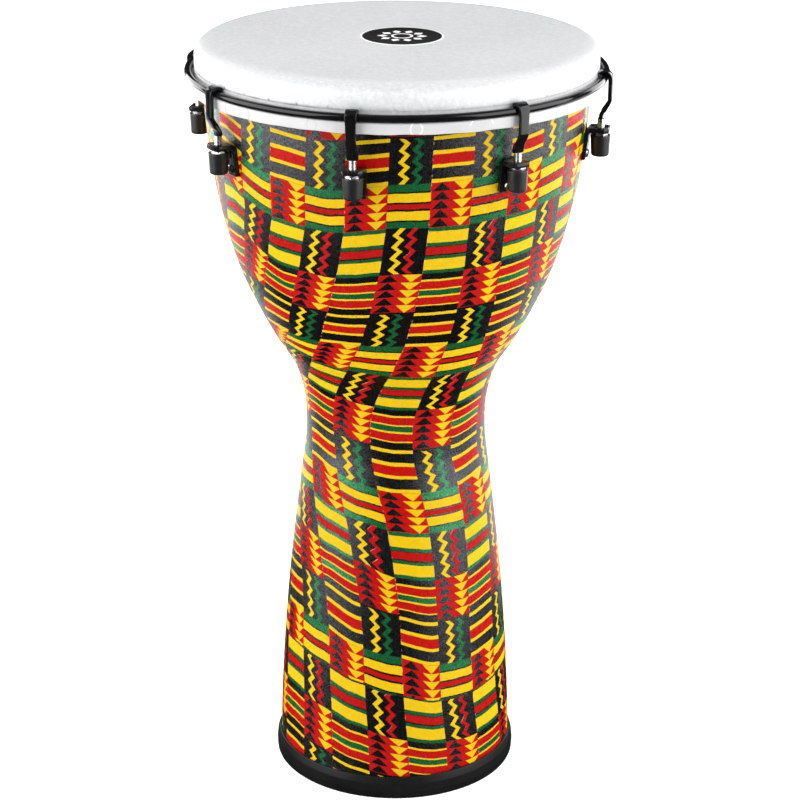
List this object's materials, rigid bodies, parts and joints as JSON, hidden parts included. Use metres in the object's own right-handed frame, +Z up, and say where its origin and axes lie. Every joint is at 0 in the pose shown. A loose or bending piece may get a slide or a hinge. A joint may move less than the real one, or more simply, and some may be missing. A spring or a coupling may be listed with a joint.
{
  "type": "djembe hand drum",
  "caption": "Goblet hand drum: waisted shell with printed wrap, film head under a round counter hoop, hook and nut tuning hardware, rubber foot.",
  "frame": {"origin": "centre of the foot's resting face", "axes": "+Z up along the drum's axis to the playing surface, -Y through the first tension lug, +X through the third"},
  "size_m": [0.3362, 0.3362, 0.6122],
  "materials": {
    "printed_shell": "satin printed cloth wrap over a moulded shell",
    "foot_rubber": "satin moulded rubber",
    "white_film": "smooth satin film",
    "white_hoop": "white satin ring",
    "badge_ink": "black printed disc with a pale rim",
    "black_steel": "gloss black coated steel",
    "black_cast": "gloss black coated casting",
    "plated_steel": "bright plated steel",
    "cap_rubber": "satin black rubber"
  },
  "bodies": {
    "drum": {"shell": "printed_shell", "foot_ring": "foot_rubber", "bracket_1": "black_cast", "bracket_2": "black_cast", "bracket_3": "black_cast", "bracket_4": "black_cast", "bracket_5": "black_cast", "bracket_6": "black_cast", "bracket_7": "black_cast", "bracket_8": "black_cast", "rod_washers": "plated_steel", "dome_screws": "plated_steel", "flat_screws": "black_steel", "inner_washers": "plated_steel", "inner_nuts": "plated_steel"},
    "hoop": {"head_film": "white_film", "flesh_hoop": "white_hoop", "head_badge": "badge_ink", "counter_hoop": "black_steel", "hook_1": "black_steel", "hook_2": "black_steel", "hook_3": "black_steel", "hook_4": "black_steel", "hook_5": "black_steel", "hook_6": "black_steel", "hook_7": "black_steel", "hook_8": "black_steel", "tension_rod_1": "plated_steel", "tension_rod_2": "plated_steel", "tension_rod_3": "plated_steel", "tension_rod_4": "plated_steel", "tension_rod_5": "plated_steel", "tension_rod_6": "plated_steel", "tension_rod_7": "plated_steel", "tension_rod_8": "plated_steel"},
    "nut_1": {"tuning_nut_1": "plated_steel"},
    "nut_2": {"tuning_nut_2": "plated_steel"},
    "nut_3": {"tuning_nut_3": "plated_steel"},
    "nut_4": {"tuning_nut_4": "plated_steel"},
    "nut_5": {"tuning_nut_5": "plated_steel"},
    "nut_6": {"tuning_nut_6": "plated_steel"},
    "nut_7": {"tuning_nut_7": "plated_steel"},
    "nut_8": {"tuning_nut_8": "plated_steel"},
    "cap_1": {"nut_cap_1": "cap_rubber"},
    "cap_2": {"nut_cap_2": "cap_rubber"},
    "cap_3": {"nut_cap_3": "cap_rubber"},
    "cap_4": {"nut_cap_4": "cap_rubber"},
    "cap_5": {"nut_cap_5": "cap_rubber"},
    "cap_6": {"nut_cap_6": "cap_rubber"},
    "cap_7": {"nut_cap_7": "cap_rubber"},
    "cap_8": {"nut_cap_8": "cap_rubber"}
  },
  "joints": [
    {"name": "head_lift", "type": "slide", "parent": "drum", "child": "hoop", "axis": [0, 0, 1], "range_m": [0, 0.008]},
    {"name": "nut_1_turn", "type": "hinge", "parent": "drum", "child": "nut_1", "pos_m": [0, -0.16, 0.5407], "axis": [0, 0, 1], "range_deg": [-2881, 1]},
    {"name": "nut_2_turn", "type": "hinge", "parent": "drum", "child": "nut_2", "pos_m": [0.11314, -0.11314, 0.5407], "axis": [0, 0, 1], "range_deg": [-2881, 1]},
    {"name": "nut_3_turn", "type": "hinge", "parent": "drum", "child": "nut_3", "pos_m": [0.16, 0, 0.5407], "axis": [0, 0, 1], "range_deg": [-2881, 1]},
    {"name": "nut_4_turn", "type": "hinge", "parent": "drum", "child": "nut_4", "pos_m": [0.11314, 0.11314, 0.5407], "axis": [0, 0, 1], "range_deg": [-2881, 1]},
    {"name": "nut_5_turn", "type": "hinge", "parent": "drum", "child": "nut_5", "pos_m": [0, 0.16, 0.5407], "axis": [0, 0, 1], "range_deg": [-2881, 1]},
    {"name": "nut_6_turn", "type": "hinge", "parent": "drum", "child": "nut_6", "pos_m": [-0.11314, 0.11314, 0.5407], "axis": [0, 0, 1], "range_deg": [-2881, 1]},
    {"name": "nut_7_turn", "type": "hinge", "parent": "drum", "child": "nut_7", "pos_m": [-0.16, 0, 0.5407], "axis": [0, 0, 1], "range_deg": [-2881, 1]},
    {"name": "nut_8_turn", "type": "hinge", "parent": "drum", "child": "nut_8", "pos_m": [-0.11314, -0.11314, 0.5407], "axis": [0, 0, 1], "range_deg": [-2881, 1]},
    {"name": "cap_1_pull", "type": "slide", "parent": "nut_1", "child": "cap_1", "axis": [0, 0, -1], "range_m": [0, 0.018]},
    {"name": "cap_2_pull", "type": "slide", "parent": "nut_2", "child": "cap_2", "axis": [0, 0, -1], "range_m": [0, 0.018]},
    {"name": "cap_3_pull", "type": "slide", "parent": "nut_3", "child": "cap_3", "axis": [0, 0, -1], "range_m": [0, 0.018]},
    {"name": "cap_4_pull", "type": "slide", "parent": "nut_4", "child": "cap_4", "axis": [0, 0, -1], "range_m": [0, 0.018]},
    {"name": "cap_5_pull", "type": "slide", "parent": "nut_5", "child": "cap_5", "axis": [0, 0, -1], "range_m": [0, 0.018]},
    {"name": "cap_6_pull", "type": "slide", "parent": "nut_6", "child": "cap_6", "axis": [0, 0, -1], "range_m": [0, 0.018]},
    {"name": "cap_7_pull", "type": "slide", "parent": "nut_7", "child": "cap_7", "axis": [0, 0, -1], "range_m": [0, 0.018]},
    {"name": "cap_8_pull", "type": "slide", "parent": "nut_8", "child": "cap_8", "axis": [0, 0, -1], "range_m": [0, 0.018]}
  ],
  "couplings": [
    {"joint": "nut_1_turn", "follows": "head_lift", "rad_per_m": -6283.2},
    {"joint": "nut_2_turn", "follows": "head_lift", "rad_per_m": -6283.2},
    {"joint": "nut_3_turn", "follows": "head_lift", "rad_per_m": -6283.2},
    {"joint": "nut_4_turn", "follows": "head_lift", "rad_per_m": -6283.2},
    {"joint": "nut_5_turn", "follows": "head_lift", "rad_per_m": -6283.2},
    {"joint": "nut_6_turn", "follows": "head_lift", "rad_per_m": -6283.2},
    {"joint": "nut_7_turn", "follows": "head_lift", "rad_per_m": -6283.2},
    {"joint": "nut_8_turn", "follows": "head_lift", "rad_per_m": -6283.2}
  ]
}
